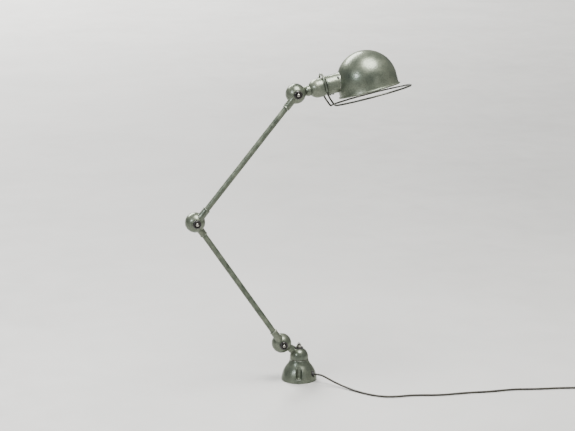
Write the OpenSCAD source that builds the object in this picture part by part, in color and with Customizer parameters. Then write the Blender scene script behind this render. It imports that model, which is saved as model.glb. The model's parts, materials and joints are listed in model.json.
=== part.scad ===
// Two-arm work lamp on a screw-down bell.  Units are millimetres, +Z is up.
// The origin is the centre of the bell's underside.  The arms fold in planes
// parallel to XZ, so every ball joint turns about a line parallel to Y, and
// the side called "near" is the -Y side, where the clamp knobs are.

/* [Bell] */
// Radius of the bell at the floor
bell_r = 45; // [44:1:48]
// Height of the bell up to the swivel face
bell_h = 54; // [53:1:56]
// Radius of the hollow under the bell
bell_hollow_r = 26; // [22:1:26]
// Direction of the first fixing niche, in degrees from +X
niche_dir = 16; // [0:1:30]
// Width of a fixing niche
niche_w = 15; // [12:1:16]
// Height of the ledge that the fixing screw clamps
ledge_h = 11; // [8:1:14]
// Radius of a fixing screw hole
screw_hole_r = 3; // [2.5:0.1:3.2]
// Distance of the fixing screws from the swivel axis
screw_ring_r = 38.5; // [37:0.5:39]
// Direction of the cord hole, in degrees from +X
cord_dir = 316; // [306:1:326]
// Height of the cord hole
cord_hole_z = 20; // [19:1:22]

/* [Swivel cap] */
// Radius of the domed swivel cap
cap_r = 23.5; // [22:0.5:25]
// Height of the centre of the cap's dome
cap_centre_z = 60.5; // [59:0.5:62]
// Radius of the swivel stud
stud_r = 4; // [3.5:0.5:4.5]

/* [Ball joints] */
// Radius of a ball joint
ball_r = 25; // [24:0.5:26]
// Wall of a half ball
ball_wall = 4; // [3.5:0.5:4.5]
// Distance of a tube's centre line from its joint's parting plane
tube_offset = 12; // [11.5:0.5:12.5]
// Radius of the pivot bolt where it turns
bolt_r = 4; // [3.5:0.5:4.5]
// Radius of a clamp knob
knob_r = 10.4; // [9:0.2:11]

/* [Arms] */
// Distance between the centres of an arm's two balls
arm_len = 400; // [300:10:450]
// Outer radius of an arm tube
tube_r = 7; // [6.5:0.5:7]
// Wall of an arm tube
tube_wall = 1.2; // [1:0.1:1.5]
// Lean of the lower arm from upright, towards -X, in degrees
lower_lean = 34; // [20:1:45]
// Lean of the upper arm from upright, towards +X, in degrees
upper_lean = 39.4; // [25:0.1:50]

/* [Head] */
// Rise of the neck's axis towards the shade, in degrees
head_tilt = 13; // [5:1:20]
// Roll of the head about the neck's axis, near side up, in degrees
head_roll = 9.5; // [0:0.5:15]
// Radius of the shade's dome and skirt
shade_r = 75; // [74:0.5:76]
// Wall of the shade
shade_wall = 1.2; // [1:0.1:1.5]
// Height of the shade's straight skirt
skirt_h = 27.5; // [25:0.5:30]
// Distance of the shade's axis from the last ball
shade_reach = 183; // [181:1:186]
// Height of the neck's axis over the rim
neck_over_rim = 41; // [39:1:43]
// Radius of the ring handle, to the middle of its rod
ring_r = 102; // [98:1:106]
// Radius of the handle's rod
rod_r = 2.3; // [2:0.1:2.4]

/* [Cord] */
// Diameter of the mains cord
cord_d = 5; // [4.5:0.5:5.5]

/* [Hidden] */
$fn = 96;

// Finishes
enamel = "darkseagreen";
bakelite = [0.06, 0.06, 0.06];
bright = "silver";
copper = "peru";
rubber = [0.12, 0.12, 0.11];

// Clearances
run_gap = 0.05;      // radial, round a pin that turns
part_gap = 0.3;      // each side of a ball's parting plane
face_gap = 0.1;      // between flat faces that turn on each other

// Bell flank: a round flank that runs into a hollow fillet below the cap
flank_r = 61.3;
flank_x = bell_r - flank_r;
blend_z = 39;
blend_x = flank_x + sqrt(flank_r * flank_r - blend_z * blend_z);
fillet_r = 35;
fillet_c = [blend_x + fillet_r * (blend_x - flank_x) / flank_r,
            blend_z + fillet_r * blend_z / flank_r];
deck_z = bell_h - 8;
niche_r = niche_w / 2;
niche_centre = 37.2;
cord_bore_r = 6;
socket_bore_r = 7.5;
socket_floor = 35;

// Swivel stack
washer_t = 1;
cap_z = bell_h + washer_t + face_gap;
cap_flat_z = cap_centre_z + cap_r - 2;
nut_z = cap_flat_z + face_gap + 2.4;
nut_h = 8;
stud_top = nut_z + nut_h + 4.5;
thread_r = 3;
lock_washer_r = 11;

// Joint centres.  A joint's Y is that of its parting plane.
ball1 = [-47.5, -6, 101];
ball2 = ball1 + [-arm_len * sin(lower_lean), -2 * tube_offset, arm_len * cos(lower_lean)];
ball3 = ball2 + [arm_len * sin(upper_lean), 0, arm_len * cos(upper_lean)];
lower_dir = 90 + lower_lean;
upper_dir = 90 - upper_lean;
stub_dir = -36.4;
stub_len = 59;

// Inside a ball
inner_r = ball_r - ball_wall;
seat_z = ball_r - 2.5;
head_seat_z = ball_r - 2;
boss_r = 7;
boss_gap = 0.6;
recess_r = 19.05;
recess_h = 6;
cavity_top = 17.5;
disc_t = 3;
collar_len = 44;
socket_start = 30;
wire_bore_r = 4.6;
bolt_thread_r = 2.5;
bolt_step_z = 22;
bolt_end_z = 30.5;

// Neck axis relative to the last ball, and stations along it
neck_side = 4;
neck_drop = 2;
stub_r = 13;
stub_face = 37.7;
egg_face = 38;
egg_centre = 57;
egg_r = 23.3;
groove_start = 70.9;
groove_end = 78;
spigot_r = 9;
holder_r = 21.9;
sleeve_r = 23.5;
dome_z = skirt_h - neck_over_rim;
rod_station = 73.6;
leg_side = holder_r + rod_r;
ring_z = -neck_over_rim - 11;
arch_rise = 8;

// Cord route from the grommet to the coil, and from the coil to the plug
cord_r = cord_d / 2;
cord_route = [[33, -32, 20], [40, -39, 20.5], [47, -46, 20], [55, -55, 17.5],
    [64, -66, 13.5], [74, -79, 9.5], [85, -95, 6.5], [96, -112, 4.5],
    [108, -131, 3.2], [122, -151, 2.6], [138, -171, 2.6], [156, -187, 2.6],
    [177, -197, 2.6], [202, -201, 2.6], [231, -201, 2.6], [260, -205, 2.6],
    [290, -212, 2.6], [321, -216, 2.6], [352, -216, 2.6], [382, -216, 2.6],
    [410, -218, 2.6], [438, -220, 2.6], [470, -219, 2.6], [500, -219, 2.6],
    [526, -223, 2.6], [552, -228, 2.6], [580, -232, 2.6], [609, -235, 2.6],
    [633, -239, 2.6], [656, -244, 2.6], [677, -250, 2.6], [697, -255.5, 2.6],
    [715, -257, 2.6]];
coil_centre = [715, -222];
coil_mid_r = 30;
coil_w = 3 * cord_d;
coil_h = 2 * cord_d;
lead_route = [[749.1, -229.9, 7.6], [751, -221, 7.4], [752.3, -211, 6.8], [753, -202, 6.4],
    [753, -193, 6.2]];

// Two-pin plug: body lying flat, pins 4 mm thick
plug_at = [753, -194, 6.2];
plug_len = 31;
plug_half_w = 16.6;
plug_half_t = 6.1;
pin_r = 2;
pin_len = 19;
pin_spacing = 19;

// ---------------------------------------------------------------- helpers

// Place children on a joint: local +Z points to the near side, local +Y is up.
module at_joint(centre) { translate(centre) rotate([90, 0, 0]) children(); }

// Place children on an arm: local +X runs along it from the joint's axis.
module along(centre, dir, side) {
    translate(centre + [0, -side * tube_offset, 0]) rotate([0, -dir, 0]) children();
}

// Turn a solid drawn along +Z so that it runs along +X.
module lay_x() { rotate([0, 90, 0]) children(); }

// Place children on the neck: local +X is its axis, towards the shade.
module at_neck() {
    translate(ball3) rotate([0, -head_tilt, 0]) translate([0, neck_side, -neck_drop])
        rotate([-head_roll, 0, 0]) children();
}

// Put children on the near side (1) or the far side (-1) of a joint.
module on_side(side) {
    if (side > 0) children();
    else mirror([0, 0, 1]) children();
}

module ring(r_out, r_in, z0, z1) {
    translate([0, 0, z0]) difference() {
        cylinder(r = r_out, h = z1 - z0);
        translate([0, 0, -1]) cylinder(r = r_in, h = z1 - z0 + 2);
    }
}

function unit(v) = v / norm(v);
function tangent(p, i) = unit(p[min(i + 1, len(p) - 1)] - p[max(i - 1, 0)]);
function square_to(n, t) = unit(n - (n * t) * t);
function normals(p, n, i = 0) = i == len(p) ? [] :
    let (m = square_to(n, tangent(p, i))) concat([m], normals(p, m, i + 1));
function spline_at(a, b, c, d, t) = 0.5 * (2 * b + t * (c - a)
    + t * t * (2 * a - 5 * b + 4 * c - d) + t * t * t * (3 * b - a - 3 * c + d));
function smooth(p, steps) = concat([for (i = [0 : len(p) - 2], s = [0 : steps - 1])
    spline_at(p[max(i - 1, 0)], p[i], p[i + 1], p[min(i + 2, len(p) - 1)], s / steps)],
    [p[len(p) - 1]]);

// One closed tube of radius r along the points p, with the given number of sides.
module tube_along(p, r, sides, first_normal) {
    n = normals(p, first_normal);
    rows = len(p);
    skin = [for (i = [0 : rows - 1]) let (b = cross(tangent(p, i), n[i]))
        for (k = [0 : sides - 1]) p[i] + r * (cos(360 * k / sides) * n[i] + sin(360 * k / sides) * b)];
    faces = concat([[for (k = [0 : sides - 1]) k]],
        [for (i = [0 : rows - 2], k = [0 : sides - 1]) let (m = (k + 1) % sides)
            [i * sides + k, (i + 1) * sides + k, (i + 1) * sides + m, i * sides + m]],
        [[for (k = [sides - 1 : -1 : 0]) (rows - 1) * sides + k]]);
    polyhedron(points = skin, faces = faces, convexity = 10);
}

// ---------------------------------------------------------------- ball joints

// Hollow of a half ball, round its boss
module ball_hollow() {
    difference() {
        union() {
            intersection() {
                sphere(r = inner_r);
                cylinder(r = inner_r + 1, h = cavity_top);
            }
            translate([0, 0, -1]) cylinder(r = recess_r, h = recess_h + 1);
        }
        translate([0, 0, boss_gap]) cylinder(r = boss_r, h = ball_r);
    }
}

// Half a ball, cut flat at its pole; local +Z is the half's own side
module half_shell(pole_z) {
    intersection() {
        sphere(r = ball_r);
        translate([0, 0, part_gap]) cylinder(r = ball_r + 1, h = pole_z - part_gap);
    }
}

// Half ball with the collar that takes an arm tube
module arm_half(dir) {
    difference() {
        union() {
            half_shell(seat_z);
            rotate([0, 0, dir]) translate([0, 0, tube_offset]) lay_x() {
                translate([0, 0, 14]) cylinder(r1 = 9.6, r2 = 8.7, h = collar_len - 14);
                translate([0, 0, collar_len - 3]) cylinder(r = 9.6, h = 2.2);
            }
        }
        ball_hollow();
        translate([0, 0, -1]) cylinder(r = bolt_r + run_gap, h = ball_r + 2);
        rotate([0, 0, dir]) translate([0, 0, tube_offset]) lay_x() {
            translate([0, 0, 10]) cylinder(r = wire_bore_r, h = collar_len);
            translate([0, 0, socket_start]) cylinder(r = tube_r, h = collar_len);
        }
    }
}

// Bolt with a slotted head on the far half and a thread for the knob
module pivot_bolt(centre) {
    color(bright) at_joint(centre) difference() {
        union() {
            translate([0, 0, -head_seat_z]) cylinder(r = bolt_r, h = head_seat_z + bolt_step_z);
            translate([0, 0, bolt_step_z]) cylinder(r = bolt_thread_r, h = bolt_end_z - bolt_step_z);
            translate([0, 0, -head_seat_z - 3]) cylinder(r = 7, h = 3);
        }
        translate([-8, -0.8, -head_seat_z - 4]) cube([16, 1.6, 2.4]);
    }
}

// Insulating disc in a half ball's recess, drilled for the sprung pins on the far side
module contact_disc(centre, side) {
    color(bakelite) at_joint(centre) on_side(side) difference() {
        ring(recess_r - run_gap, boss_r + 0.6, recess_h - disc_t, recess_h);
        if (side < 0) pin_places() cylinder(r = 1.55, h = 30, center = true);
    }
}

module pin_places() {
    translate([10.5, 0, 0]) children();
    translate([-15, 0, 0]) children();
}

// Copper rings on the near disc
module contact_rings(centre) {
    color(copper) at_joint(centre) {
        ring(11.5, 9.5, recess_h - disc_t - 1, recess_h - disc_t);
        ring(16, 14, recess_h - disc_t - 1, recess_h - disc_t);
    }
}

// Sprung pins through the far disc, just clear of the rings
module contact_pins(centre) {
    color(copper) at_joint(centre) pin_places()
        translate([0, 0, -recess_h - 3]) cylinder(r = 1.5, h = recess_h + 3 + 1.7);
}

// Fibre washer between the two bosses
module friction_washer(centre) {
    color("sienna") at_joint(centre) ring(boss_r, bolt_r + 0.2, -0.5, 0.5);
}

// Moulded clamp knob, dished in front
module clamp_knob(centre) {
    color(bakelite) at_joint(centre) translate([0, 0, seat_z + part_gap]) difference() {
        rotate_extrude() {
            square([knob_r - 2.2, 6.8]);
            translate([0, 1.6]) square([knob_r, 3]);
            translate([knob_r - 2.2, 4.6]) circle(r = 2.2);
            polygon([[0, 0], [knob_r - 1.6, 0], [knob_r, 1.6], [0, 1.6]]);
        }
        translate([0, 0, 4.8]) cylinder(r1 = 5.2, r2 = 6.4, h = 3);
        translate([0, 0, -1]) cylinder(r = bolt_thread_r + run_gap, h = 9);
    }
}

// Domed nut set in a knob
module knob_nut(centre) {
    color(bright) at_joint(centre) difference() {
        intersection() {
            translate([0, 0, 27.65]) cylinder(r = 4.4, h = 6, $fn = 6);
            translate([0, 0, 28]) sphere(r = 4.9);
        }
        translate([0, 0, 20]) cylinder(r = bolt_thread_r + run_gap, h = bolt_end_z + 0.3 - 20);
    }
}

// ---------------------------------------------------------------- base

module bell_outline() {
    intersection() {
        translate([flank_x, 0]) circle(r = flank_r, $fn = 200);
        square([bell_r, blend_z]);
    }
    difference() {
        translate([0, blend_z]) square([blend_x, bell_h - blend_z]);
        translate(fillet_c) circle(r = fillet_r, $fn = 200);
    }
}

module base_bell() {
    color(enamel) difference() {
        rotate_extrude() bell_outline();
        translate([0, 0, -1]) cylinder(r = bell_hollow_r, h = 31);
        translate([0, 0, 30]) cylinder(r1 = bell_hollow_r, r2 = 12, h = deck_z - 30);
        translate([0, 0, deck_z - 1]) cylinder(r = stud_r + run_gap, h = 20);
        for (k = [0 : 2]) rotate([0, 0, niche_dir + 120 * k]) {
            translate([niche_centre, 0, ledge_h]) cylinder(r = niche_r, h = bell_h);
            translate([niche_centre, -niche_r, ledge_h]) cube([20, niche_w, bell_h]);
            translate([screw_ring_r, 0, -1]) cylinder(r = screw_hole_r, h = ledge_h + 2);
        }
        rotate([0, 0, cord_dir]) translate([0, 0, cord_hole_z]) lay_x() {
            translate([0, 0, 15]) cylinder(r = cord_bore_r, h = 40);
            translate([0, 0, socket_floor]) cylinder(r = socket_bore_r, h = 20);
        }
    }
}

module swivel_stud() {
    color(bright) difference() {
        union() {
            translate([0, 0, deck_z - 10]) cylinder(r = stud_r, h = cap_flat_z - deck_z + 9);
            translate([0, 0, cap_flat_z - 1]) cylinder(r = thread_r, h = stud_top - cap_flat_z + 1);
        }
        translate([0, 0, deck_z - 11]) cylinder(r = 2, h = 35);
    }
}

module stud_nut() {
    color(bright) difference() {
        translate([0, 0, deck_z - 6]) cylinder(r = 7.5, h = 6, $fn = 6);
        translate([0, 0, deck_z - 7]) cylinder(r = stud_r, h = 8);
    }
}

module thrust_washer() {
    color("sienna") ring(22.5, stud_r + 4.5, bell_h, bell_h + washer_t);
}

module terminal_block() {
    color(bakelite) translate([-13, -6, 8]) difference() {
        cube([26, 12, 12]);
        for (x = [7, 19]) translate([x, 6, 4]) cylinder(r = 2, h = 10);
    }
}

module terminal_screws() {
    color(copper) for (x = [-6, 6]) translate([x, 0, 12]) {
        cylinder(r = 1.9, h = 8);
        translate([0, 0, 8]) cylinder(r = 3, h = 2);
    }
}

// Rubber grommet with a short tapered nose
module cord_grommet() {
    color(rubber) rotate([0, 0, cord_dir]) translate([0, 0, cord_hole_z]) lay_x() difference() {
        union() {
            translate([0, 0, 22]) cylinder(r = cord_bore_r - run_gap, h = 14);
            translate([0, 0, socket_floor]) cylinder(r = socket_bore_r - run_gap, h = 4.5);
            translate([0, 0, 39.5]) cylinder(r1 = 5.6, r2 = cord_r + 0.9, h = 6.5);
        }
        translate([0, 0, 21]) cylinder(r = cord_r, h = 30);
    }
}

module power_cord() {
    color(rubber) tube_along(smooth(cord_route, 2), cord_r, 8, [0, 0, 1]);
}

module cord_coil() {
    color(rubber) translate([coil_centre.x, coil_centre.y, 0.1]) rotate_extrude()
        translate([coil_mid_r, 0]) {
            translate([-coil_w / 2, cord_r]) square([coil_w, coil_h - cord_d]);
            translate([-coil_w / 2 + cord_r, 0]) square([coil_w - cord_d, coil_h]);
            for (x = [-1, 1], z = [cord_r, coil_h - cord_r])
                translate([x * (coil_w / 2 - cord_r), z]) circle(r = cord_r);
        }
}

module plug_lead() {
    color(rubber) tube_along(smooth(lead_route, 2), cord_r, 8, [0, 0, 1]);
}

// Flat two-pin plug lying on its side
module plug_body() {
    color(rubber) translate(plug_at) hull() {
        rotate([-90, 0, 0]) cylinder(r = cord_r + 1.2, h = 2, $fn = 32);
        for (x = [-1, 1]) translate([x * (plug_half_w - plug_half_t), plug_len / 2, 0])
            rotate([-90, 0, 0]) cylinder(r = plug_half_t, h = plug_len / 2, $fn = 32);
    }
}

module plug_pins() {
    color(bright) translate(plug_at + [0, plug_len, 0]) for (x = [-1, 1])
        translate([x * pin_spacing / 2, 0, 0]) rotate([-90, 0, 0]) cylinder(r = pin_r, h = pin_len);
}

// ---------------------------------------------------------------- swivel cap

module turret_cap() {
    color(enamel) difference() {
        union() {
            intersection() {
                union() {
                    translate([0, 0, cap_centre_z]) sphere(r = cap_r);
                    translate([0, 0, cap_z]) cylinder(r = cap_r, h = cap_centre_z - cap_z);
                }
                translate([0, 0, cap_z]) cylinder(r = cap_r + 1, h = cap_flat_z - cap_z);
            }
            at_joint(ball1) on_side(-1) {
                half_shell(head_seat_z);
                rotate([0, 0, stub_dir]) translate([0, 0, tube_offset]) lay_x()
                    translate([0, 0, 16]) cylinder(r1 = 8, r2 = 12, h = stub_len - 22);
            }
        }
        difference() {
            union() {
                translate([0, 0, cap_centre_z]) sphere(r = cap_r - 4);
                translate([0, 0, cap_z - 1]) cylinder(r = cap_r - 4, h = cap_centre_z - cap_z + 1);
            }
            translate([0, 0, cap_z]) cylinder(r = stud_r + 4, h = 40);
        }
        translate([0, 0, cap_z - 1]) cylinder(r = stud_r + run_gap, h = 40);
        // spot face for the lock washer, cut into the side of the arm stub
        translate([0, 0, cap_flat_z]) cylinder(r = lock_washer_r + 0.7, h = 30);
        at_joint(ball1) on_side(-1) {
            ball_hollow();
            translate([0, 0, -1]) cylinder(r = bolt_r + run_gap, h = ball_r + 2);
            rotate([0, 0, stub_dir]) translate([0, 0, tube_offset]) lay_x()
                translate([0, 0, 12]) cylinder(r = wire_bore_r, h = stub_len - 26);
        }
    }
}

module lock_washer() {
    color(bakelite) ring(lock_washer_r, stud_r + 0.4, cap_flat_z + face_gap, nut_z);
}

module lock_nut() {
    color(bright) difference() {
        intersection() {
            translate([0, 0, nut_z]) cylinder(r = 6.4, h = nut_h, $fn = 6);
            translate([0, 0, nut_z - 2]) cylinder(r1 = 8.6, r2 = 5.2, h = nut_h + 2);
        }
        translate([0, 0, nut_z - 1]) cylinder(r = thread_r + run_gap, h = nut_h + 2);
    }
}

module joint1_bolt() { pivot_bolt(ball1); }
module joint1_far_disc() { contact_disc(ball1, -1); }
module joint1_pins() { contact_pins(ball1); }
module joint1_washer() { friction_washer(ball1); }

// ---------------------------------------------------------------- arms

module arm_tube(centre, dir, side) {
    color(enamel) along(centre, dir, side) lay_x()
        ring(tube_r, tube_r - tube_wall, socket_start, arm_len - socket_start);
}

// The two insulated wires that run through an arm
module arm_wires(centre, dir, side) {
    color("firebrick") along(centre, dir, side) for (s = [-1, 1])
        translate([14, 2 * s, 0]) lay_x() cylinder(r = 1.3, h = arm_len - 28);
}

module lower_foot_half() { color(enamel) at_joint(ball1) arm_half(lower_dir); }
module lower_tube() { arm_tube(ball1, lower_dir, 1); }
module lower_wires() { arm_wires(ball1, lower_dir, 1); }
module lower_head_half() {
    color(enamel) at_joint(ball2) on_side(-1) arm_half(lower_dir + 180);
}
module joint1_near_disc() { contact_disc(ball1, 1); }
module joint1_rings() { contact_rings(ball1); }
module joint2_bolt() { pivot_bolt(ball2); }
module joint2_far_disc() { contact_disc(ball2, -1); }
module joint2_pins() { contact_pins(ball2); }
module joint2_washer() { friction_washer(ball2); }

module upper_foot_half() { color(enamel) at_joint(ball2) arm_half(upper_dir); }
module upper_tube() { arm_tube(ball2, upper_dir, 1); }
module upper_wires() { arm_wires(ball2, upper_dir, 1); }
module upper_head_half() { color(enamel) at_joint(ball3) arm_half(upper_dir + 180); }
module joint2_near_disc() { contact_disc(ball2, 1); }
module joint2_rings() { contact_rings(ball2); }
module joint3_near_disc() { contact_disc(ball3, 1); }
module joint3_rings() { contact_rings(ball3); }

// ---------------------------------------------------------------- head stub

// Place children on the neck before its roll: local +X is the neck's axis.
module at_stub() {
    translate(ball3) rotate([0, -head_tilt, 0]) translate([0, neck_side, -neck_drop]) children();
}

module head_stub() {
    color(enamel) difference() {
        union() {
            at_joint(ball3) on_side(-1) half_shell(head_seat_z);
            hull() {
                translate(ball3) rotate([0, -head_tilt, 0]) translate([14, 11.5, 0]) lay_x()
                    cylinder(r = 9.5, h = 8, $fn = 48);
                at_stub() translate([30, 0, 0]) lay_x() cylinder(r = stub_r, h = 1, $fn = 48);
            }
            at_stub() translate([30, 0, 0]) lay_x() cylinder(r = stub_r, h = stub_face - 30);
            at_stub() translate([30, 0, 0]) lay_x() cylinder(r = spigot_r, h = 18);
        }
        // room for the near half to turn past the stub
        at_joint(ball3) translate([0, 0, -part_gap]) cylinder(r = ball_r + 0.5, h = 40);
        at_joint(ball3) on_side(-1) {
            ball_hollow();
            translate([0, 0, -1]) cylinder(r = bolt_r + run_gap, h = ball_r + 2);
            rotate([0, 0, head_tilt]) translate([12, 0, 10]) lay_x() cylinder(r = 4.5, h = 20);
        }
        at_stub() translate([28, 0, 0]) lay_x() cylinder(r = 5.5, h = 30);
    }
}

module joint3_bolt() { pivot_bolt(ball3); }
module joint3_far_disc() { contact_disc(ball3, -1); }
module joint3_pins() { contact_pins(ball3); }
module joint3_washer() { friction_washer(ball3); }

// Ring nut that holds the socket housing on the stub's spigot
module stub_locknut() {
    color(copper) at_stub() lay_x() ring(13, spigot_r, 43.4, 46.9);
}

// ---------------------------------------------------------------- head

module socket_housing() {
    color(enamel) at_neck() difference() {
        union() {
            intersection() {
                translate([egg_centre, 0, 0]) sphere(r = egg_r);
                translate([egg_face, 0, 0]) lay_x() cylinder(r = 30, h = egg_centre - egg_face);
            }
            translate([egg_centre, 0, 0]) lay_x() cylinder(r = egg_r, h = groove_start - egg_centre);
            translate([groove_start - 1, 0, 0]) lay_x() cylinder(r = holder_r, h = 23);
        }
        intersection() {
            translate([egg_centre, 0, 0]) sphere(r = egg_r - 3);
            translate([egg_face + 5, 0, 0]) lay_x() cylinder(r = 30, h = 30);
        }
        translate([egg_centre, 0, 0]) lay_x() cylinder(r = holder_r - 1.8, h = 50);
        translate([egg_face - 1, 0, 0]) lay_x() cylinder(r = spigot_r + run_gap, h = 10);
        translate([66, 0, 0]) cylinder(r = 1.5, h = 30);
    }
}

module housing_screw() {
    color(bakelite) at_neck() translate([66, 0, 0]) {
        translate([0, 0, 20.6]) cylinder(r = 1.5, h = 3);
        translate([0, 0, 23.35]) cylinder(r = 2.6, h = 2.2);
    }
}

module neck_sleeve() {
    color(enamel) at_neck() difference() {
        union() {
            translate([groove_end, 0, 0]) lay_x() cylinder(r = sleeve_r, h = 60);
            lay_x() rotate_extrude() translate([sleeve_r, groove_end + 2]) circle(r = 2);
        }
        lay_x() cylinder(r = holder_r + 0.1, h = 200);
        shade_body(0.05);
        for (a = neck_screw_dirs) neck_screw_at(a) cylinder(r = 1.6, h = 20, center = true);
        for (x = bottom_screws) translate([x, 0, 0]) mirror([0, 0, 1]) cylinder(r = 1.6, h = 30);
    }
}

// Outer form of the dome and its skirt, grown by g
module shade_body(g) {
    translate([shade_reach, 0, dome_z]) sphere(r = shade_r + g);
    translate([shade_reach, 0, -neck_over_rim - 1])
        cylinder(r = shade_r + g, h = skirt_h + 1);
}

neck_screw_dirs = [32, 148];
bottom_screws = [85, 92];
module neck_screw_at(a) {
    translate([109.5, -sleeve_r * cos(a), sleeve_r * sin(a)]) rotate([90 - a, 0, 0]) children();
}

// Black screws: two beside the dome, two under the neck
module neck_screws() {
    color(bakelite) at_neck() {
        for (a = neck_screw_dirs) neck_screw_at(a) {
            translate([0, 0, -1.3]) cylinder(r = 1.5, h = 2);
            translate([0, 0, 0.3]) cylinder(r = 3, h = 1.8);
        }
        for (x = bottom_screws) translate([x, 0, 0]) mirror([0, 0, 1]) {
            translate([0, 0, holder_r + 0.1]) cylinder(r = 1.5, h = 2);
            translate([0, 0, sleeve_r + 0.1]) cylinder(r = 2.6, h = 2.4);
        }
    }
}

module shade() {
    color(enamel) at_neck() translate([shade_reach, 0, 0]) difference() {
        rotate_extrude() {
            difference() {
                union() {
                    intersection() {
                        translate([0, dome_z]) circle(r = shade_r, $fn = 200);
                        translate([0, dome_z]) square([shade_r, shade_r]);
                    }
                    translate([0, -neck_over_rim + 2]) square([shade_r, skirt_h - 2]);
                }
                intersection() {
                    translate([0, dome_z]) circle(r = shade_r - shade_wall, $fn = 200);
                    translate([0, dome_z]) square([shade_r, shade_r]);
                }
                translate([0, -neck_over_rim]) square([shade_r - shade_wall, skirt_h]);
            }
            translate([shade_r + 1.3, -neck_over_rim + 2.1]) circle(r = 2.1);
        }
        translate([-shade_reach, 0, 0]) lay_x() cylinder(r = 20.3, h = shade_reach);
    }
}

// Half of the handle's centre line: ring front, round the near side, up the leg, over the arch
ring_turn = asin(leg_side / ring_r);
function ring_point(a) = [shade_reach + ring_r * cos(a), -ring_r * sin(a), ring_z];
function handle_path() = concat(
    [for (k = [-1 : 29]) ring_point(k * (180 - ring_turn - 4) / 29)],
    [[shade_reach - ring_r * cos(ring_turn) + 0.6, -leg_side - 2.2, ring_z + 1],
     [shade_reach - ring_r * cos(ring_turn) - 2.2, -leg_side - 0.6, ring_z + 4.5],
     [rod_station + 5.2, -leg_side, ring_z + 12],
     [rod_station + 2.2, -leg_side, ring_z + 20],
     [rod_station + 0.5, -leg_side, ring_z + 28],
     [rod_station, -leg_side, ring_z + 36], [rod_station, -leg_side, -6]],
    [for (a = [0 : 12 : 96]) [rod_station, -leg_side * cos(a), arch_rise + leg_side * sin(a)]]);

module ring_handle() {
    color("darkolivegreen") at_neck() for (s = [0, 1]) mirror([0, s, 0])
        tube_along(handle_path(), rod_r, 12, [0, 0, 1]);
}

module lampholder() {
    color("ivory") at_neck() lay_x() difference() {
        translate([0, 0, 66]) cylinder(r = 19.5, h = 46);
        translate([0, 0, 82]) cylinder(r = 14.7, h = 40);
        for (s = [-1, 1]) translate([0, 7 * s, 60]) cylinder(r = 2, h = 30);
    }
}

module lampholder_shell() {
    color(copper) at_neck() lay_x() ring(14.65, 13.7, 82, 111);
}

module bulb_cap() {
    color(bright) at_neck() lay_x() {
        translate([0, 0, 87]) cylinder(r1 = 8, r2 = 13.2, h = 4);
        translate([0, 0, 91]) cylinder(r = 13.2, h = 23);
        translate([0, 0, 84]) cylinder(r = 5, h = 3.5);
    }
}

module bulb_outline(inset) {
    translate([0, 165]) circle(r = 30 - inset);
    polygon([[0, 114.1 + inset], [13 - inset, 114.1 + inset], [16 - inset, 124],
        [22 - inset, 137], [28.6 - inset, 156], [0, 165]]);
}

module bulb_glass() {
    color("white") at_neck() lay_x() rotate_extrude() intersection() {
        difference() {
            bulb_outline(0);
            bulb_outline(1);
        }
        square([40, 200]);
    }
}

module clamp_knob_1() { clamp_knob(ball1); }
module knob_nut_1() { knob_nut(ball1); }
module clamp_knob_2() { clamp_knob(ball2); }
module knob_nut_2() { knob_nut(ball2); }
module clamp_knob_3() { clamp_knob(ball3); }
module knob_nut_3() { knob_nut(ball3); }

base_bell();
swivel_stud();
stud_nut();
thrust_washer();
terminal_block();
terminal_screws();
cord_grommet();
power_cord();
cord_coil();
plug_lead();
plug_body();
plug_pins();
turret_cap();
joint1_bolt();
joint1_far_disc();
joint1_pins();
joint1_washer();
lower_foot_half();
lower_tube();
lower_head_half();
lower_wires();
joint1_near_disc();
joint1_rings();
joint2_bolt();
joint2_far_disc();
joint2_pins();
joint2_washer();
upper_foot_half();
upper_tube();
upper_head_half();
upper_wires();
joint2_near_disc();
joint2_rings();
joint3_near_disc();
joint3_rings();
head_stub();
joint3_bolt();
joint3_far_disc();
joint3_pins();
joint3_washer();
stub_locknut();
socket_housing();
housing_screw();
neck_sleeve();
neck_screws();
shade();
ring_handle();
lampholder();
lampholder_shell();
bulb_cap();
bulb_glass();
clamp_knob_1();
knob_nut_1();
clamp_knob_2();
knob_nut_2();
clamp_knob_3();
knob_nut_3();
lock_washer();
lock_nut();
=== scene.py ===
"""Looks for the two-arm work lamp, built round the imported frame.  Lengths are in metres."""
import json
import math

import bmesh
import bpy
from mathutils import Matrix, Vector


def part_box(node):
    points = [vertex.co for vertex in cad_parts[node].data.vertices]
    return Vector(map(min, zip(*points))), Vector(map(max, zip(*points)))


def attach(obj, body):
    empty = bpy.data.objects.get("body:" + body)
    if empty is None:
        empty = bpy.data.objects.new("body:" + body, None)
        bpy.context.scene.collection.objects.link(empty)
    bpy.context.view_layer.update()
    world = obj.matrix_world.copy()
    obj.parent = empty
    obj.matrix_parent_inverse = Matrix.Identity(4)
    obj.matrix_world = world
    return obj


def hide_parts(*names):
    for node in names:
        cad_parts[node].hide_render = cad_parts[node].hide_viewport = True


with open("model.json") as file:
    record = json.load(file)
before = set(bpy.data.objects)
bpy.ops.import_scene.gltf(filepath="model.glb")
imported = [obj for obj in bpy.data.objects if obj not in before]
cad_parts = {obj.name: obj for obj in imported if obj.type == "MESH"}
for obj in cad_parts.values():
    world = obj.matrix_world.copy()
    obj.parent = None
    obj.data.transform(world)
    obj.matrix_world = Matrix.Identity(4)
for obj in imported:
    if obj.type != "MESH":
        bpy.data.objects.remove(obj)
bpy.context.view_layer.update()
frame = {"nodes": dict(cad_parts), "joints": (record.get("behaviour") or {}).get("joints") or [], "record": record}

MM = 0.001
joint_at = {j["name"]: Vector(j["pos_m"]) for j in frame["joints"] if "pos_m" in j}
BALL_1, BALL_2, BALL_3 = (joint_at[n] for n in ("shoulder", "elbow", "wrist"))
nodes = frame["nodes"]

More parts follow.
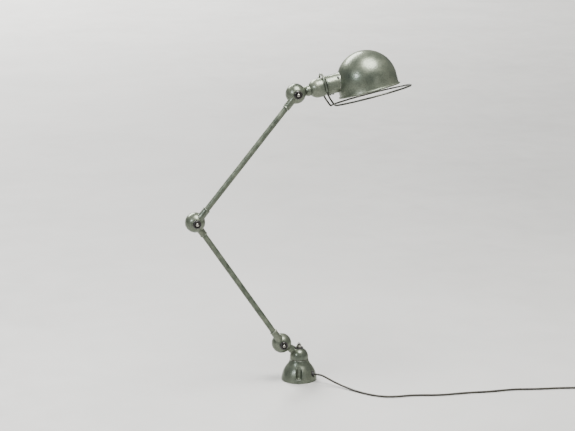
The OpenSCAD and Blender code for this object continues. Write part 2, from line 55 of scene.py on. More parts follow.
# The neck's own frame: +X along the neck towards the shade, -Y the near side, +Z the dome's top
HEAD_TILT, HEAD_ROLL = math.radians(13), math.radians(9.5)
NECK_SIDE, NECK_DROP = 4 * MM, 2 * MM
NECK = (Matrix.Translation(BALL_3) @ Matrix.Rotation(-HEAD_TILT, 4, "Y")
        @ Matrix.Translation((0, NECK_SIDE, -NECK_DROP)) @ Matrix.Rotation(-HEAD_ROLL, 4, "X"))
ALONG_X = Matrix.Rotation(math.pi / 2, 4, "Y")

# Head sizes, as in the CAD source
SHADE_R, SHADE_WALL, SKIRT_H = 75 * MM, 1.2 * MM, 27.5 * MM
SHADE_REACH, NECK_OVER_RIM = 183 * MM, 41 * MM
DOME_Z = SKIRT_H - NECK_OVER_RIM
HOLDER_R, SLEEVE_R = 21.9 * MM, 23.5 * MM
HOUSING_BORE_R, SHADE_BORE_R, STUB_BORE_R = 20.1 * MM, 20.3 * MM, 9.05 * MM
EGG_CENTRE, EGG_R, EGG_FACE = 57 * MM, 23.3 * MM, 38 * MM
RING_R, ROD_R, RING_Z = 102 * MM, 2.3 * MM, -NECK_OVER_RIM - 11 * MM
ROD_STATION, ARCH_RISE = 73.6 * MM, 8 * MM
LEG_SIDE = HOLDER_R + ROD_R
ARCH_PAINT_Z = -15 * MM  # the handle carries the head's enamel above this height
KNOB_R, KNOB_SEAT = 10.4 * MM, 22.8 * MM


# ------------------------------------------------------------------ camera

LENS_MM, SENSOR_MM = 109.01, 36
CAMERA_TARGET = Vector((-0.0304, 0, 0.4302))
CAMERA_AZIMUTH, CAMERA_ELEVATION = math.radians(-13.89), math.radians(12.80)
CAMERA_DISTANCE = 4.354


def make_camera():
    """Camera at the distance and angles above, aimed at the target with the horizon level."""
    data = bpy.data.cameras.new("camera")
    data.sensor_width = SENSOR_MM
    data.lens = LENS_MM
    data.clip_end = 200
    camera = bpy.data.objects.new("camera", data)
    bpy.context.scene.collection.objects.link(camera)
    flat = math.cos(CAMERA_ELEVATION)
    back = Vector((math.sin(CAMERA_AZIMUTH) * flat, -math.cos(CAMERA_AZIMUTH) * flat,
                   math.sin(CAMERA_ELEVATION)))
    camera.location = CAMERA_TARGET + back * CAMERA_DISTANCE
    camera.rotation_mode = "QUATERNION"
    camera.rotation_quaternion = (-back).to_track_quat("-Z", "Y")
    bpy.context.scene.camera = camera


# ------------------------------------------------------------------ mesh helpers

def add_object(name, mesh, body, slot, material, *stands_for):
    """Put a finished mesh in the scene on its body, with its material, and hide the nodes it stands for; slot is
    not used.
    """
    piece = bpy.data.objects.new(name, mesh)
    bpy.context.scene.collection.objects.link(piece)
    for m in (material if isinstance(material, (list, tuple)) else [material]):
        mesh.materials.append(m)
    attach(piece, body)
    if stands_for:
        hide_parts(*stands_for)
    return piece


def smooth_mesh(mesh, sharp_degrees=40):
    """Smooth shading that keeps edges sharper than the angle."""
    for polygon in mesh.polygons:
        polygon.use_smooth = True
    mesh.set_sharp_from_angle(angle=math.radians(sharp_degrees))
    return mesh


def lathe_mesh(name, outline, place, steps=96, closed=False):
    """Turn an outline of (radius, height) points round local Z, then move it with place.
    Points on the axis become one vertex.  A closed outline makes a ring."""
    bm = bmesh.new()
    rings = []
    for radius, height in outline:
        count = 1 if radius < 1e-7 else steps
        rings.append([bm.verts.new((radius * math.cos(2 * math.pi * k / steps),
                                    radius * math.sin(2 * math.pi * k / steps), height))
                      for k in range(count)])
    pairs = list(zip(rings, rings[1:] + rings[:1])) if closed else list(zip(rings, rings[1:]))
    for low, high in pairs:
        for k in range(steps):
            n = (k + 1) % steps
            corners = [low[k % len(low)], low[n % len(low)], high[n % len(high)], high[k % len(high)]]
            corners = list(dict.fromkeys(corners))
            if len(corners) > 2:
                bm.faces.new(corners)
    bmesh.ops.recalc_face_normals(bm, faces=bm.faces)
    bmesh.ops.transform(bm, matrix=place, verts=bm.verts)
    mesh = bpy.data.meshes.new(name)
    bm.to_mesh(mesh)
    bm.free()
    return smooth_mesh(mesh)


def arc(centre, radius, start, end, steps=8):
    """Points of an outline's arc, from start to end in degrees."""
    angles = [math.radians(start + (end - start) * k / steps) for k in range(steps + 1)]
    return [(centre[0] + radius * math.cos(a), centre[1] + radius * math.sin(a)) for a in angles]


def in_metres(outline):
    """An outline in mm, changed to metres."""
    return [(x * MM, y * MM) for x, y in outline]


def tube_mesh(name, points, radius, sides=20, closed=False):
    """Round tube along points, with frames carried along so that it doesn't twist."""
    points = [Vector(p) for p in points]
    count = len(points)
    tangents = []
    for i in range(count):
        before = points[i - 1] if (i or closed) else points[0]
        after = points[(i + 1) % count] if (i < count - 1 or closed) else points[-1]
        tangents.append((after - before).normalized())
    normal = tangents[0].orthogonal().normalized()
    frames = []
    for t in tangents:
        normal = (normal - t * normal.dot(t)).normalized()
        frames.append((normal.copy(), t.cross(normal)))
    twist = 0.0
    if closed:
        last = (frames[-1][0] - tangents[0] * frames[-1][0].dot(tangents[0])).normalized()
        twist = math.atan2(last.dot(frames[0][1]), last.dot(frames[0][0]))
    bm = bmesh.new()
    rings = []
    for i, (p, (n, b)) in enumerate(zip(points, frames)):
        turn = -twist * i / count
        rings.append([bm.verts.new(p + radius * (math.cos(2 * math.pi * k / sides + turn) * n
                                                 + math.sin(2 * math.pi * k / sides + turn) * b))
                      for k in range(sides)])
    for i in range(count if closed else count - 1):
        low, high = rings[i], rings[(i + 1) % count]
        for k in range(sides):
            m = (k + 1) % sides
            bm.faces.new((low[k], low[m], high[m], high[k]))
    if not closed:
        bm.faces.new(rings[0])
        bm.faces.new(rings[-1])
    bmesh.ops.recalc_face_normals(bm, faces=bm.faces)
    mesh = bpy.data.meshes.new(name)
    bm.to_mesh(mesh)
    bm.free()
    return smooth_mesh(mesh)


def spline(points, steps):
    """Catmull-Rom curve through points, steps pieces to a span."""
    points = [Vector(p) for p in points]
    out = []
    for i in range(len(points) - 1):
        a, b = points[max(i - 1, 0)], points[i]
        c, d = points[i + 1], points[min(i + 2, len(points) - 1)]
        for s in range(steps):
            t = s / steps
            out.append(0.5 * (2 * b + t * (c - a) + t * t * (2 * a - 5 * b + 4 * c - d)
                              + t ** 3 * (3 * b - a - 3 * c + d)))
    return out + [points[-1]]


def cut_from(mesh_object, cutter_mesh):
    """Subtract a closed mesh from an object and keep the result in its mesh."""
    cutter = bpy.data.objects.new("cutter", cutter_mesh)
    bpy.context.scene.collection.objects.link(cutter)
    modifier = mesh_object.modifiers.new("cut", "BOOLEAN")
    modifier.object = cutter
    modifier.operation = "DIFFERENCE"
    modifier.solver = "EXACT"
    bpy.context.view_layer.update()
    evaluated = mesh_object.evaluated_get(bpy.context.evaluated_depsgraph_get())
    result = bpy.data.meshes.new_from_object(evaluated)
    mesh_object.modifiers.remove(modifier)
    mesh_object.data = result
    bpy.data.objects.remove(cutter)
    return smooth_mesh(result, 35)


# ------------------------------------------------------------------ materials

class Nodes:
    """A material's node tree, with a short call for each kind of node that the finishes share."""

    def __init__(self, name, metallic=0.0, roughness=0.5, coat=0.0, coat_roughness=0.1, ior=1.5):
        self.material = bpy.data.materials.new(name)
        self.material.use_nodes = True
        self.tree = self.material.node_tree
        self.shader = self.tree.nodes["Principled BSDF"]
        for socket, value in (("Metallic", metallic), ("Roughness", roughness), ("Coat Weight", coat),
                              ("Coat Roughness", coat_roughness), ("IOR", ior)):
            self.shader.inputs[socket].default_value = value
        self.place = self.add("ShaderNodeTexCoord").outputs["Object"]

    def add(self, kind, **settings):
        node = self.tree.nodes.new(kind)
        for key, value in settings.items():
            setattr(node, key, value)
        return node

    def link(self, source, target):
        self.tree.links.new(source, target)

    def scaled_place(self, scale):
        node = self.add("ShaderNodeMapping")
        node.inputs["Scale"].default_value = scale
        self.link(self.place, node.inputs["Vector"])
        return node.outputs["Vector"]

    def noise(self, scale, detail=4.0, roughness=0.55, place=None, distortion=0.0):
        node = self.add("ShaderNodeTexNoise")
        for socket, value in (("Scale", scale), ("Detail", detail), ("Roughness", roughness),
                              ("Distortion", distortion)):
            node.inputs[socket].default_value = value
        self.link(place or self.place, node.inputs["Vector"])
        return node.outputs["Fac"]

    def cells(self, scale, feature="SMOOTH_F1"):
        node = self.add("ShaderNodeTexVoronoi", feature=feature)
        node.inputs["Scale"].default_value = scale
        self.link(self.place, node.inputs["Vector"])
        return node.outputs["Distance"]

    def ramp(self, value, *stops):
        """Colour or grey ramp: stops are (position, grey or (r, g, b))."""
        node = self.add("ShaderNodeValToRGB")
        elements = node.color_ramp.elements
        while len(elements) < len(stops):
            elements.new(0.5)
        for element, (position, colour) in zip(elements, stops):
            element.position = position
            grey = not isinstance(colour, tuple)
            element.color = (colour, colour, colour, 1) if grey else (*colour, 1)
        self.link(value, node.inputs["Fac"])
        return node.outputs["Color"]

    def mix(self, factor, a, b, blend="MIX"):
        node = self.add("ShaderNodeMix", data_type="RGBA", blend_type=blend)
        for socket, value in ((node.inputs["Factor"], factor), (node.inputs[6], a), (node.inputs[7], b)):
            if isinstance(value, (int, float)):
                socket.default_value = value
            elif isinstance(value, tuple):
                socket.default_value = (*value, 1)
            else:
                self.link(value, socket)
        return node.outputs[2]

    def math(self, operation, a, b):
        node = self.add("ShaderNodeMath", operation=operation)
        for socket, value in zip(node.inputs, (a, b)):
            if isinstance(value, (int, float)):
                socket.default_value = value
            else:
                self.link(value, socket)
        return node.outputs[0]

    def pointed(self, low=0.51, high=0.56):
        """1 on convex edges and 0 elsewhere."""
        return self.ramp(self.add("ShaderNodeNewGeometry").outputs["Pointiness"], (low, 0.0), (high, 1.0))

    def bump(self, height, depth, strength=1.0, under=None):
        node = self.add("ShaderNodeBump")
        node.inputs["Distance"].default_value = depth
        node.inputs["Strength"].default_value = strength
        self.link(height, node.inputs["Height"])
        if under:
            self.link(under, node.inputs["Normal"])
        self.link(node.outputs["Normal"], self.shader.inputs["Normal"])
        return node.outputs["Normal"]

    def colour(self, source):
        self.link(source, self.shader.inputs["Base Color"])

    def rough(self, source):
        self.link(source, self.shader.inputs["Roughness"])


def hammered_enamel(name, shade=1.0, worn=0.5):
    """Glossy green-grey hammered enamel: small dimples, pale flecks, dull patches and worn edges."""
    n = Nodes(name, metallic=0.62, coat=0.28, coat_roughness=0.14)
    n.shader.inputs["Specular Tint"].default_value = (0.42, 0.45, 0.40, 1)
    patches = n.noise(22, 5, 0.6)
    base = n.ramp(patches, (0.30, tuple(shade * c for c in (0.078, 0.094, 0.074))),
                  (0.52, tuple(shade * c for c in (0.136, 0.154, 0.116))),
                  (0.74, tuple(shade * c for c in (0.198, 0.214, 0.160))))
    dimples = n.cells(430)
    flecks = n.ramp(n.noise(900, 3, 0.7), (0.56, 0.0), (0.70, 1.0))
    base = n.mix(n.math("MULTIPLY", flecks, 0.25), base, (0.42, 0.44, 0.35))
    base = n.mix(n.math("MULTIPLY", n.ramp(dimples, (0.28, 0.0), (0.62, 1.0)), 0.40), base,
                 tuple(shade * c for c in (0.058, 0.068, 0.052)))
    grime = n.ramp(n.noise(60, 6, 0.7, distortion=0.4), (0.56, 0.0), (0.72, 1.0))
    base = n.mix(n.math("MULTIPLY", grime, 0.45 * worn), base, (0.046, 0.046, 0.032))
    chips = n.math("MULTIPLY", n.pointed(), n.ramp(n.noise(180, 4, 0.65), (0.50, 0.0), (0.58, 1.0)))
    base = n.mix(n.math("MULTIPLY", chips, worn), base, (0.40, 0.40, 0.36))
    n.colour(base)
    n.rough(n.ramp(patches, (0.3, 0.27), (0.7, 0.42)))
    coarse = n.bump(n.noise(120, 2, 0.5), 0.00030, 0.5)
    n.bump(dimples, 0.00026, 0.8, under=coarse)
    return n.material


def tube_enamel(name):
    """The same enamel, duller, rubbed darker in blotches and with dark specks."""
    n = Nodes(name, metallic=0.45, coat=0.06, coat_roughness=0.25)
    n.shader.inputs["Specular Tint"].default_value = (0.40, 0.43, 0.38, 1)
    blotches = n.noise(45, 6, 0.7)
    base = n.ramp(blotches, (0.32, (0.055, 0.066, 0.050)), (0.55, (0.125, 0.142, 0.106)),
                  (0.72, (0.215, 0.232, 0.175)))
    specks = n.ramp(n.noise(700, 3, 0.75), (0.55, 0.0), (0.66, 1.0))
    base = n.mix(n.math("MULTIPLY", specks, 0.55), base, (0.024, 0.027, 0.019))
    n.colour(base)
    n.rough(n.ramp(blotches, (0.3, 0.36), (0.7, 0.56)))
    n.bump(n.noise(520, 4, 0.65), 0.0003, 0.6)
    return n.material


def white_enamel(name):
    """Aged white inside of the shade, creamier and dustier in patches."""
    n = Nodes(name, coat=0.2, coat_roughness=0.2)
    patches = n.noise(28, 5, 0.6)
    n.colour(n.ramp(patches, (0.30, (0.62, 0.59, 0.50)), (0.65, (0.78, 0.77, 0.71))))
    n.rough(n.ramp(patches, (0.3, 0.40), (0.7, 0.28)))
    n.bump(n.noise(260, 3, 0.5), 0.00012, 0.4)
    return n.material


def worn_rod(name):
    """Nearly black enamel on the handle, rubbed lighter where hands slide."""
    n = Nodes(name, metallic=0.55, coat=0.15)
    rubbed = n.ramp(n.noise(75, 5, 0.7), (0.52, 0.0), (0.68, 1.0))
    base = n.ramp(n.noise(300, 3, 0.6), (0.35, (0.014, 0.015, 0.012)), (0.7, (0.040, 0.042, 0.032)))
    n.colour(n.mix(n.math("MULTIPLY", rubbed, 0.35), base, (0.22, 0.22, 0.18)))
    n.rough(n.ramp(n.noise(160, 3, 0.6), (0.3, 0.26), (0.7, 0.45)))
    n.bump(n.noise(600, 3, 0.6), 0.00012, 0.5)
    return n.material


def metal(name, light, dark, rough_low, rough_high, grain=900):
    """Bare or plated metal with dull patches and fine scratches."""
    n = Nodes(name, metallic=1.0)
    patches = n.noise(140, 5, 0.65)
    n.colour(n.ramp(patches, (0.32, dark), (0.68, light)))
    n.rough(n.ramp(n.noise(grain, 3, 0.7), (0.3, rough_low), (0.7, rough_high)))
    scratches = n.noise(120, 4, 0.7, place=n.scaled_place((1, 1, 14)))
    n.bump(scratches, 0.00006, 0.5)
    return n.material


def moulded(name, dark, light, rough_low, rough_high, coat=0.0, scale=260, depth=0.00008):
    """Moulded plastic, rubber, fibre or porcelain: slight tone change and a fine skin."""
    n = Nodes(name, coat=coat, coat_roughness=0.12)
    n.colour(n.ramp(n.noise(70, 5, 0.6), (0.32, dark), (0.68, light)))
    n.rough(n.ramp(n.noise(scale, 4, 0.65), (0.3, rough_low), (0.7, rough_high)))
    n.bump(n.noise(scale * 3, 3, 0.6), depth, 0.5)
    return n.material


def frosted_glass(name):
    """Etched bulb glass: clear enough to be glass and dull enough to hide the inside."""
    n = Nodes(name, roughness=0.32, ior=1.45)
    n.shader.inputs["Transmission Weight"].default_value = 0.75
    n.colour(n.ramp(n.noise(40, 3, 0.5), (0.3, (0.90, 0.89, 0.85)), (0.7, (0.96, 0.96, 0.94))))
    n.bump(n.noise(1500, 2, 0.5), 0.00003, 0.3)
    return n.material


M = {
    "bell_enamel": hammered_enamel("bell_enamel", 0.98, 0.8),
    "casting_enamel": hammered_enamel("casting_enamel", 1.0, 0.7),
    "tube_enamel": tube_enamel("tube_enamel"),
    "head_enamel": hammered_enamel("head_enamel", 1.05, 0.5),
    "shade_enamel": hammered_enamel("shade_enamel", 1.0, 0.5),
    "shade_inside": white_enamel("shade_inside"),
    "handle_enamel": worn_rod("handle_enamel"),
    "bright_steel": metal("bright_steel", (0.46, 0.45, 0.41), (0.17, 0.165, 0.15), 0.20, 0.40),
    "plug_pin_metal": metal("plug_pin_metal", (0.78, 0.77, 0.74), (0.60, 0.59, 0.56), 0.12, 0.26),
    "bulb_base": metal("bulb_base", (0.74, 0.74, 0.72), (0.52, 0.52, 0.50), 0.26, 0.42),
    "contact_brass": metal("contact_brass", (0.60, 0.40, 0.18), (0.30, 0.17, 0.08), 0.28, 0.50),
    "bakelite": moulded("bakelite", (0.005, 0.0045, 0.004), (0.013, 0.011, 0.010), 0.20, 0.36, coat=0.15),
    "black_screw": moulded("black_screw", (0.012, 0.012, 0.012), (0.030, 0.029, 0.027), 0.30, 0.46),
    "fibre": moulded("fibre", (0.040, 0.028, 0.020), (0.085, 0.056, 0.038), 0.66, 0.82),
    "black_rubber": moulded("black_rubber", (0.014, 0.014, 0.013), (0.030, 0.029, 0.027), 0.58, 0.74),
    "cord_sheath": moulded("cord_sheath", (0.013, 0.012, 0.008), (0.036, 0.032, 0.020), 0.34, 0.50),
    "plug_plastic": moulded("plug_plastic", (0.020, 0.020, 0.019), (0.038, 0.037, 0.035), 0.42, 0.56),
    "wire_insulation": moulded("wire_insulation", (0.30, 0.045, 0.030), (0.40, 0.070, 0.045), 0.36, 0.48),
    "porcelain": moulded("porcelain", (0.74, 0.71, 0.64), (0.82, 0.80, 0.75), 0.10, 0.22, coat=0.5),
    "bulb_glass": frosted_glass("bulb_glass"),
}


# ------------------------------------------------------------------ mains cord

CORD_D = 5 * MM
CORD_ROUTE = [(33, -32, 20), (40, -39, 20.5), (47, -46, 20), (55, -55, 17.5), (64, -66, 13.5),
              (74, -79, 9.5), (85, -95, 6.5), (96, -112, 4.5), (108, -131, 3.2), (122, -151, 2.6),
              (138, -171, 2.6), (156, -187, 2.6), (177, -197, 2.6), (202, -201, 2.6), (231, -201, 2.6),
              (260, -205, 2.6), (290, -212, 2.6), (321, -216, 2.6), (352, -216, 2.6), (382, -216, 2.6),
              (410, -218, 2.6), (438, -220, 2.6), (470, -219, 2.6), (500, -219, 2.6), (526, -223, 2.6),
              (552, -228, 2.6), (580, -232, 2.6), (609, -235, 2.6), (633, -239, 2.6), (656, -244, 2.6),
              (677, -250, 2.6), (697, -255.5, 2.6), (715, -257, 2.6)]
LEAD_ROUTE = [(749.1, -229.9, 7.6), (751, -221, 7.4), (752.3, -211, 6.8), (753, -202, 6.4),
              (753, -193, 6.2)]
COIL_CENTRE = (715, -222)
COIL_MID_R, LAYER_LOW, LAYER_HIGH = 30, 2.6, 7.6
COIL_START_DEG, COIL_LAST_SHARE = -90, 0.214
STEPS_PER_TURN = 48


def ease(t, start, end):
    """0 before start, 1 after end, and smooth between."""
    s = min(1.0, max(0.0, (t - start) / (end - start)))
    return s * s * (3 - 2 * s)


def coil_point(turn, share):
    """Centre of the cord at a share of a turn: three turns inwards on the floor, then out on top."""
    gap = CORD_D / MM
    outer = COIL_MID_R + gap
    if turn < 3:
        radius = outer - gap * turn - (gap * ease(share, 0.8, 1.0) if turn < 2 else 0)
        height = LAYER_LOW + (LAYER_HIGH - LAYER_LOW) * (ease(share, 0.58, 0.84) if turn == 2 else 0)
    else:
        radius = outer - gap * (5 - turn) + gap * ease(share, 0.34, 0.54)
        height = LAYER_HIGH
    angle = math.radians(COIL_START_DEG + 360 * share)
    return (COIL_CENTRE[0] + radius * math.cos(angle), COIL_CENTRE[1] + radius * math.sin(angle), height)


def make_cord():
    """The whole cord as one tube: route, coil turns and lead, with the plug on its end."""
    points = [p * MM for p in spline(CORD_ROUTE, 6)]
    coil = [coil_point(turn, k / STEPS_PER_TURN) for turn in range(5) for k in range(STEPS_PER_TURN)]
    last = round(COIL_LAST_SHARE * STEPS_PER_TURN)
    coil += [coil_point(5, k / STEPS_PER_TURN) for k in range(last)]
    points += [Vector(p) * MM for p in coil[1:]]
    points += [p * MM for p in spline(LEAD_ROUTE, 4)]
    cord = add_object("mains_cord", tube_mesh("mains_cord", points, CORD_D / 2, 16), "base",
                      "cord_sheath", M["cord_sheath"], "power_cord", "cord_coil", "plug_lead")


# ------------------------------------------------------------------ head

def make_shade():
    """Spun shell: dome, straight skirt and rolled rim outside, white inside."""
    wall = SHADE_WALL / MM
    outer = SHADE_R / MM
    rim, dome = -NECK_OVER_RIM / MM, DOME_Z / MM
    outline = arc((0, dome), outer, 90, 0, 40)
    outline += [(outer, dome - 8), (outer, rim + 6.4)]
    outline += arc((outer + 1.3, rim + 2.1), 2.1, 100, -215, 22)
    outline += [(outer - wall, rim + 4.6), (outer - wall, dome)]
    outline += arc((0, dome), outer - wall, 0, 90, 40)[1:]
    place = NECK @ Matrix.Translation((SHADE_REACH, 0, 0))
    mesh = lathe_mesh("shade_shell", in_metres(outline), place, 192)
    shell = bpy.data.objects.new("shade_shell", mesh)
    bpy.context.scene.collection.objects.link(shell)
    mesh.materials.append(M["shade_enamel"])
    mesh.materials.append(M["shade_inside"])
    to_shade = place.inverted()
    centre = Vector((0, 0, dome * MM))
    for polygon in mesh.polygons:
        at = to_shade @ polygon.center
        facing = (to_shade.to_3x3() @ polygon.normal).normalized()
        away = at - centre if at.z > centre.z else Vector((at.x, at.y, 0))
        looks_in = facing.dot(away.normalized()) < -0.2
        within_wall = math.hypot(at.x, at.y) < SHADE_R - 0.4 * SHADE_WALL
        polygon.material_index = 1 if looks_in and within_wall else 0
    start = -10 * MM
    bore_outline = [(0, start), (SHADE_BORE_R, start), (SHADE_BORE_R, SHADE_REACH), (0, SHADE_REACH)]
    bore = lathe_mesh("bore", bore_outline, NECK @ ALONG_X, 96)
    cut_from(shell, bore)
    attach(shell, "head")
    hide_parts("shade")


def dome_station(side, height):
    """Where a line along the neck meets the outside of the shade, as a distance along the neck."""
    lift = max(0.0, height - DOME_Z)
    return SHADE_REACH - math.sqrt(SHADE_R ** 2 - side ** 2 - lift ** 2)


def make_sleeve():
    """Sleeve on the dome's neck: rolled bead at one end, cut to the dome at the other."""
    steps = 128
    bead = [(x * MM, r * MM) for r, x in arc((23.5, 80), 2.0, 245, -65, 18)]
    inner_start = (78 * MM, HOLDER_R + 0.1 * MM)
    bm = bmesh.new()
    columns = []
    for k in range(steps):
        a = 2 * math.pi * k / steps
        column = [inner_start, (78 * MM, 23.0 * MM)] + bead
        for share in (0.25, 0.5, 0.75, 0.9):
            end = dome_station(SLEEVE_R * math.cos(a), SLEEVE_R * math.sin(a))
            start = 82.2 * MM
            column.append((start + (end - start) * share, SLEEVE_R))
        flare = SLEEVE_R + 0.5 * MM
        column.append((dome_station(flare * math.cos(a), flare * math.sin(a)) + 0.3 * MM, flare))
        inside = HOLDER_R + 0.1 * MM
        column.append((dome_station(inside * math.cos(a), inside * math.sin(a)) + 0.3 * MM, inside))
        columns.append([bm.verts.new((x, r * math.cos(a), r * math.sin(a))) for x, r in column])
    for k in range(steps):
        here, there = columns[k], columns[(k + 1) % steps]
        rows = len(here)
        for i in range(rows):
            j = (i + 1) % rows
            bm.faces.new((here[i], there[i], there[j], here[j]))
    bmesh.ops.recalc_face_normals(bm, faces=bm.faces)
    bmesh.ops.transform(bm, matrix=NECK, verts=bm.verts)
    mesh = bpy.data.meshes.new("neck_collar")
    bm.to_mesh(mesh)
    bm.free()
    add_object("neck_collar", smooth_mesh(mesh), "head", "head_enamel", M["head_enamel"], "neck_sleeve")


def make_housing():
    """Egg-shaped casting with a turned groove and the plain spigot that enters the sleeve."""
    centre, radius, face = EGG_CENTRE / MM, EGG_R / MM, EGG_FACE / MM
    stub_bore, housing_bore = STUB_BORE_R / MM, HOUSING_BORE_R / MM
    lip = math.degrees(math.asin((centre - face) / radius))
    nose = [(r, x) for x, r in arc((centre, 0), radius, 180 - (90 - lip), 90, 18)]
    outline = [(stub_bore, face), (nose[0][0] - 0.8, face), *nose, (radius, 69.6)]
    outline += [(r, x) for x, r in arc((69.7, radius - 1.2), 1.2, 90, 0, 5)]
    outline += [(HOLDER_R / MM, 71.4), (HOLDER_R / MM, 92.8), (housing_bore, 92.8), (housing_bore, centre)]
    outline += [(r, x) for x, r in arc((centre, 0), radius - 3, 90, 150, 8)] + [(stub_bore, 43)]
    mesh = lathe_mesh("egg_housing", in_metres(outline), NECK @ ALONG_X, 128, closed=True)
    add_object("egg_housing", mesh, "head", "head_enamel", M["head_enamel"], "socket_housing")


def handle_path():
    """Centre line of the handle: the ring, its two legs and the arch over the neck.
    The near half is worked out, and the far half mirrors it."""
    turn = math.asin(LEG_SIDE / RING_R)
    ring = [(SHADE_REACH + RING_R * math.cos(a), -RING_R * math.sin(a), RING_Z)
            for a in [k * (math.pi - turn - math.radians(4)) / 60 for k in range(61)]]
    back = SHADE_REACH - RING_R * math.cos(turn)
    leg = [(back + 0.6 * MM, -LEG_SIDE - 2.2 * MM, RING_Z + 1 * MM),
           (back - 2.2 * MM, -LEG_SIDE - 0.6 * MM, RING_Z + 4.5 * MM),
           (ROD_STATION + 5.2 * MM, -LEG_SIDE, RING_Z + 12 * MM),
           (ROD_STATION + 2.2 * MM, -LEG_SIDE, RING_Z + 20 * MM),
           (ROD_STATION + 0.5 * MM, -LEG_SIDE, RING_Z + 28 * MM),
           (ROD_STATION, -LEG_SIDE, RING_Z + 36 * MM), (ROD_STATION, -LEG_SIDE, -6 * MM)]
    arch = [(ROD_STATION, -LEG_SIDE * math.cos(a), ARCH_RISE + LEG_SIDE * math.sin(a))
            for a in [math.radians(6 * k) for k in range(16)]]
    half = ring + [tuple(p) for p in spline(leg + arch[:1], 5)] + arch[1:-1]
    mirrored = [(x, -y, z) for x, y, z in reversed(half[1:])]
    return half + [(ROD_STATION, 0, ARCH_RISE + LEG_SIDE)] + mirrored


def make_handle():
    """One bent rod: dark on the ring and the lower legs, the head's enamel on the arch."""
    points = [NECK @ Vector(p) for p in handle_path()]
    mesh = tube_mesh("ring_handle_rod", points, ROD_R, 20, closed=True)
    add_object("ring_handle_rod", mesh, "head", "handle_enamel", [M["handle_enamel"], M["head_enamel"]],
               "ring_handle")
    to_neck = NECK.inverted()
    for polygon in mesh.polygons:
        polygon.material_index = 1 if (to_neck @ polygon.center).z > ARCH_PAINT_Z else 0


def slotted_screw(name, place, radius, height, stands_for=()):
    """Domed screw head with a slot across it, seated on place's origin and facing local +Z."""
    outline = [(0, -1.2), (radius * 0.55, -1.2), (radius * 0.55, 0), (radius, 0)]
    outline += arc((radius - 0.7, height * 0.45), 0.7, 0, 60, 4)
    outline += [(radius * 0.55, height * 0.92), (0, height)]
    mesh = lathe_mesh(name, in_metres(outline), place, 40)
    screw = add_object(name, mesh, "head", "black_screw", M["black_screw"], *stands_for)
    bm = bmesh.new()
    bmesh.ops.create_cube(bm, size=1)
    size = Matrix.Diagonal((3 * radius * MM, 0.8 * MM, 1.6 * MM, 1))
    bmesh.ops.transform(bm, matrix=place @ Matrix.Translation((0, 0, height * MM)) @ size, verts=bm.verts)
    slot = bpy.data.meshes.new("slot")
    bm.to_mesh(slot)
    bm.free()
    cut_from(screw, slot)


def make_screws():
    """Two screws beside the sleeve, two below it and one on top of the housing."""
    for k, degrees in enumerate((32, 148)):
        a = math.radians(degrees)
        seat = SLEEVE_R + 0.1 * MM
        place = (NECK @ Matrix.Translation((109.5 * MM, -seat * math.cos(a), seat * math.sin(a)))
                 @ Matrix.Rotation(math.pi / 2 - a, 4, "X"))
        slotted_screw(f"side_screw_{k + 1}", place, 3.0, 1.9, ("neck_screws",) if k == 0 else ())
    for k, station in enumerate((85, 92)):
        place = (NECK @ Matrix.Translation((station * MM, 0, -SLEEVE_R - 0.1 * MM))
                 @ Matrix.Rotation(math.pi, 4, "X"))
        slotted_screw(f"under_screw_{k + 1}", place, 2.6, 2.3)
    place = NECK @ Matrix.Translation((66 * MM, 0, 23.35 * MM))
    slotted_screw("top_screw", place, 2.6, 2.1, ("housing_screw",))


def make_bulb():
    """Blown glass on a rolled screw cap."""
    glass = [(12.9, 114.3), (13.4, 118), (16.2, 125), (20.6, 134), (25.4, 145)]
    glass += [(r, x) for x, r in arc((165, 0), 30, 139, 0, 24)]
    inside = [(max(0.0, r - 0.9), x - (0.9 if x > 165 else 0)) for r, x in reversed(glass)]
    glass_mesh = lathe_mesh("bulb_envelope", in_metres(glass + inside[1:]), NECK @ ALONG_X, 96)
    add_object("bulb_envelope", glass_mesh, "head", "bulb_glass", M["bulb_glass"], "bulb_glass")
    cap = [(0, 84), (4.6, 84), (5, 84.6), (5, 87), (8, 87), (12.4, 90.6)]
    for k in range(6):
        cap += [(12.3, 91.4 + 3 * k), (13.1, 92.4 + 3 * k), (13.1, 93.2 + 3 * k)]
    cap += [(12.9, 110), (12.9, 114), (0, 114)]
    add_object("bulb_screw_cap", lathe_mesh("bulb_screw_cap", in_metres(cap), NECK @ ALONG_X, 72),
               "head", "bulb_base", M["bulb_base"], "bulb_cap")


# ------------------------------------------------------------------ joints and base

def at_joint(centre):
    """Local +Z points to the near side."""
    return Matrix.Translation(centre) @ Matrix.Rotation(math.pi / 2, 4, "X")


def make_knob(number, centre):
    """Moulded knob: rolled edge, dished face and a fine turned line round the nut."""
    r = KNOB_R / MM
    seat = KNOB_SEAT / MM
    outline = [(2.6, 0), (r - 1.6, 0), (r - 0.3, 0.7), (r, 1.9), (r, 4.0)]
    outline += arc((r - 2.2, 4.6), 2.2, 0, 90, 10)
    outline += [(r - 3.0, 6.75), (6.9, 6.6), (6.3, 6.2), (5.8, 5.2), (5.2, 4.8), (2.6, 4.8)]
    place = at_joint(centre) @ Matrix.Translation((0, 0, seat * MM))
    mesh = lathe_mesh(f"black_knob_{number}", in_metres(outline), place, 72, closed=True)
    body = ("shoulder_knob", "elbow_knob", "wrist_knob")[number - 1]
    add_object(f"black_knob_{number}", mesh, body, "bakelite", M["bakelite"], f"clamp_knob_{number}")


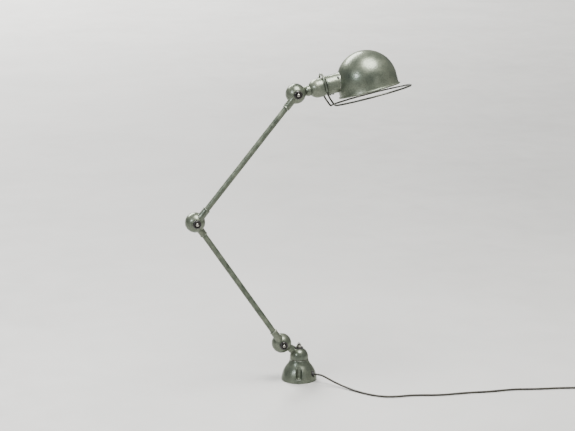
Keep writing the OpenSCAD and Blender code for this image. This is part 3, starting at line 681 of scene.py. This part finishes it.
def make_stud():
    """Swivel stud with thread rings on the end that shows over the lock nut."""
    low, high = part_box("swivel_stud")
    outline = [(0, low.z / MM), (4, low.z / MM), (4, 81.5), (3, 82)]
    z, top = 82.6, high.z / MM - 1.2
    while z < top:
        outline += [(2.55, z), (3.0, z + 0.35), (3.0, z + 0.5)]
        z += 0.9
    outline += [(2.7, top), (2.3, high.z / MM), (0, high.z / MM)]
    mesh = lathe_mesh("threaded_stud", in_metres(outline), Matrix.Identity(4), 48)
    add_object("threaded_stud", mesh, "base", "bright_steel", M["bright_steel"], "swivel_stud")


# Cast nodes, each with the grid size in mm that its edges are rounded on
CASTINGS = {"base_bell": 0.7, "turret_cap": 0.6, "lower_foot_half": 0.55, "lower_head_half": 0.55,
            "upper_foot_half": 0.55, "upper_head_half": 0.55, "head_stub": 0.55}


def soften(piece, voxel_mm):
    """Round a casting's edges a little, as a thick coat of enamel does."""
    weld = piece.modifiers.new("weld", "WELD")
    weld.merge_threshold = 0.00001
    remesh = piece.modifiers.new("even", "REMESH")
    remesh.mode = "VOXEL"
    remesh.voxel_size = voxel_mm * MM
    remesh.use_smooth_shade = True
    relax = piece.modifiers.new("relax", "SMOOTH")
    relax.factor = 0.5
    relax.iterations = 7


def dress_nodes():
    """Give each CAD node that still shows its finish."""
    slots = {s["node"]: s["material_slot"] for s in frame["record"]["subparts"]}
    for name, piece in nodes.items():
        if piece.hide_render:
            continue
        piece.data.materials.clear()
        piece.data.materials.append(M[slots[name]])
        if name in CASTINGS:
            soften(piece, CASTINGS[name])


# ------------------------------------------------------------------ stage

def area_light(name, at, size, power, colour, target=(0, 0, 0.45)):
    """Round soft light at a place, turned to face the target."""
    data = bpy.data.lights.new(name, "AREA")
    data.shape = "DISK"
    data.size = size
    data.energy = power
    data.color = colour
    light = bpy.data.objects.new(name, data)
    bpy.context.scene.collection.objects.link(light)
    light.location = at
    light.rotation_mode = "QUATERNION"
    light.rotation_quaternion = (Vector(target) - Vector(at)).to_track_quat("-Z", "Y")


def make_stage():
    """Pale floor and surround, with soft light from above, the left, far behind and the front."""
    n = Nodes("pale_floor", roughness=0.6)
    tone = n.noise(1.6, 6, 0.6)
    n.colour(n.ramp(tone, (0.3, (0.455, 0.453, 0.438)), (0.7, (0.505, 0.503, 0.487))))
    n.rough(n.ramp(n.noise(9, 5, 0.6), (0.3, 0.50), (0.7, 0.66)))
    bm = bmesh.new()
    bmesh.ops.create_circle(bm, cap_ends=True, segments=64, radius=40)
    mesh = bpy.data.meshes.new("floor")
    bm.to_mesh(mesh)
    bm.free()
    floor = bpy.data.objects.new("floor", mesh)
    mesh.materials.append(n.material)
    bpy.context.scene.collection.objects.link(floor)
    world = bpy.data.worlds.new("pale_surround")
    world.use_nodes = True
    background = world.node_tree.nodes["Background"]
    background.inputs["Color"].default_value = (0.86, 0.88, 0.90, 1)
    background.inputs["Strength"].default_value = 0.22
    bpy.context.scene.world = world
    area_light("top_soft", (0.3, -0.7, 2.9), 1.7, 190, (1.0, 0.985, 0.955), (0, 0, 0.3))
    area_light("left_window", (-2.7, -1.7, 2.1), 0.8, 60, (0.88, 0.94, 1.0))
    area_light("far_wash", (-3, 12, 8), 10, 6800, (1.0, 0.99, 0.975), (-3, 12, 0))
    area_light("front_fill", (1.6, -3.8, 1.3), 1.6, 8, (1.0, 0.99, 0.97))


make_camera()
make_cord()
make_shade()
make_sleeve()
make_housing()
make_handle()
make_screws()
make_bulb()
for number, centre in enumerate((BALL_1, BALL_2, BALL_3), 1):
    make_knob(number, centre)
make_stud()
dress_nodes()
make_stage()
